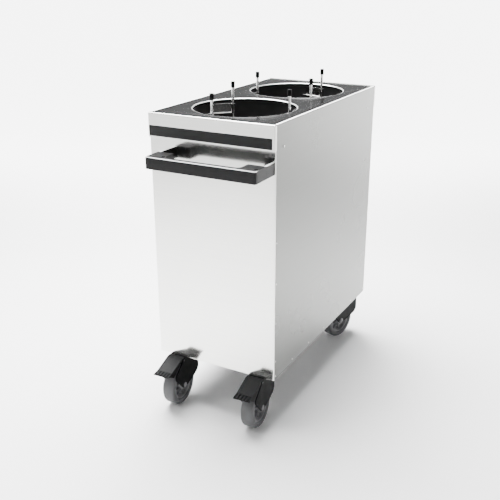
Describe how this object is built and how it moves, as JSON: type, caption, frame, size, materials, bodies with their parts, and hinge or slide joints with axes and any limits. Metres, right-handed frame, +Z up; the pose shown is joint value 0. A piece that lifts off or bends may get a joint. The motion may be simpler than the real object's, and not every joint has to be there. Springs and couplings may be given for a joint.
{
  "type": "plate dispenser cart",
  "caption": "Upright stainless plate dispenser cart with sprung plate lifts in round wells, a front push handle, braked front casters and plain rear casters.",
  "frame": {"origin": "on the floor under the middle of the whole object, handle included", "axes": "+Z up, -Y towards the front with the push handle, +X to the right seen from the front"},
  "size_m": [0.3932, 0.8346, 0.947],
  "materials": {
    "front_steel": "upright brushed grain, bright",
    "side_steel": "fine satin grain",
    "deck_steel": "dark polished",
    "strip_black": "semi-gloss",
    "handle_grey": "satin moulded",
    "housing_black": "fine moulded texture",
    "pedal_grey": "fine moulded texture",
    "tyre_grey": "matt",
    "hub_grey": "satin moulded",
    "plated_steel": "zinc plated",
    "rod_steel": "polished",
    "cap_black": "satin moulded",
    "liner_black": "black, satin",
    "lift_steel": "satin",
    "bush_white": "natural",
    "buffer_black": "matt",
    "spring_steel": "drawn wire"
  },
  "bodies": {
    "cart": {"side_panel_left": "side_steel", "side_panel_right": "side_steel", "front_panel": "front_steel", "rear_panel": "front_steel", "front_fascia": "front_steel", "rear_fascia": "front_steel", "front_strip": "strip_black", "top_plate": "deck_steel", "base_pan": "plated_steel", "caster_channels_front": "plated_steel", "caster_channels_rear": "plated_steel", "edge_rivets": "plated_steel", "side_screws": "plated_steel", "handle_bar": "handle_grey", "handle_block_left": "handle_grey", "handle_block_right": "handle_grey", "handle_brackets": "handle_grey", "handle_screws": "handle_grey", "caster_plates": "plated_steel", "caster_bolts": "plated_steel", "kingpins": "plated_steel", "well_liner_front": "liner_black", "well_liner_rear": "liner_black", "guide_rods_front": "rod_steel", "guide_rods_rear": "rod_steel", "rod_caps_front": "cap_black", "rod_caps_rear": "cap_black", "rod_arms_front": "lift_steel", "rod_arms_rear": "lift_steel", "rod_feet": "plated_steel", "spring_hangers": "lift_steel", "stop_buffers": "buffer_black", "lift_springs_front": "spring_steel", "lift_springs_rear": "spring_steel"},
    "platform_front": {"platform_front": "lift_steel", "carriage_front": "lift_steel", "guide_bushes_front": "bush_white"},
    "platform_rear": {"platform_rear": "lift_steel", "carriage_rear": "lift_steel", "guide_bushes_rear": "bush_white"},
    "swivel_fl": {"fork_front_left": "housing_black", "axle_front_left": "plated_steel", "brake_pin_left": "plated_steel"},
    "wheel_fl": {"hub_front_left": "hub_grey", "tyre_front_left": "tyre_grey"},
    "swivel_fr": {"fork_front_right": "housing_black", "axle_front_right": "plated_steel", "brake_pin_right": "plated_steel"},
    "wheel_fr": {"hub_front_right": "hub_grey", "tyre_front_right": "tyre_grey"},
    "swivel_rl": {"fork_rear_left": "housing_black", "axle_rear_left": "plated_steel"},
    "wheel_rl": {"hub_rear_left": "hub_grey", "tyre_rear_left": "tyre_grey"},
    "swivel_rr": {"fork_rear_right": "housing_black", "axle_rear_right": "plated_steel"},
    "wheel_rr": {"hub_rear_right": "hub_grey", "tyre_rear_right": "tyre_grey"},
    "pedal_fl": {"brake_pedal_left": "pedal_grey"},
    "pedal_fr": {"brake_pedal_right": "pedal_grey"}
  },
  "joints": [
    {"name": "lift_front", "type": "slide", "parent": "cart", "child": "platform_front", "axis": [0, 0, -1], "range_m": [0, 0.36], "stiffness_N_per_m": 735, "springref_m": -0.1, "deforming": ["lift_springs_front"]},
    {"name": "lift_rear", "type": "slide", "parent": "cart", "child": "platform_rear", "axis": [0, 0, -1], "range_m": [0, 0.36], "stiffness_N_per_m": 735, "springref_m": -0.1, "deforming": ["lift_springs_rear"]},
    {"name": "swivel_fl", "type": "hinge", "parent": "cart", "child": "swivel_fl", "pos_m": [-0.1345, -0.27829, 0.159], "axis": [0, 0, 1], "continuous": true},
    {"name": "wheel_fl", "type": "hinge", "parent": "swivel_fl", "child": "wheel_fl", "pos_m": [-0.13317, -0.31626, 0.0625], "axis": [0.9994, 0.0349, 0], "continuous": true},
    {"name": "swivel_fr", "type": "hinge", "parent": "cart", "child": "swivel_fr", "pos_m": [0.1345, -0.27829, 0.159], "axis": [0, 0, 1], "continuous": true},
    {"name": "wheel_fr", "type": "hinge", "parent": "swivel_fr", "child": "wheel_fr", "pos_m": [0.13649, -0.31623, 0.0625], "axis": [0.9986, 0.0523, 0], "continuous": true},
    {"name": "swivel_rl", "type": "hinge", "parent": "cart", "child": "swivel_rl", "pos_m": [-0.1345, 0.36771, 0.159], "axis": [0, 0, 1], "continuous": true},
    {"name": "wheel_rl", "type": "hinge", "parent": "swivel_rl", "child": "wheel_rl", "pos_m": [-0.1345, 0.32971, 0.0625], "axis": [1, 0, 0], "continuous": true},
    {"name": "swivel_rr", "type": "hinge", "parent": "cart", "child": "swivel_rr", "pos_m": [0.1345, 0.36771, 0.159], "axis": [0, 0, 1], "continuous": true},
    {"name": "wheel_rr", "type": "hinge", "parent": "swivel_rr", "child": "wheel_rr", "pos_m": [0.12276, 0.33157, 0.0625], "axis": [0.9511, -0.309, 0], "continuous": true},
    {"name": "pedal_fl", "type": "hinge", "parent": "swivel_fl", "child": "pedal_fl", "pos_m": [-0.1331, -0.31826, 0.147], "axis": [0.9994, 0.0349, 0], "range_deg": [0, 9]},
    {"name": "pedal_fr", "type": "hinge", "parent": "swivel_fr", "child": "pedal_fr", "pos_m": [0.13659, -0.31823, 0.147], "axis": [0.9986, 0.0523, 0], "range_deg": [0, 9]}
  ]
}
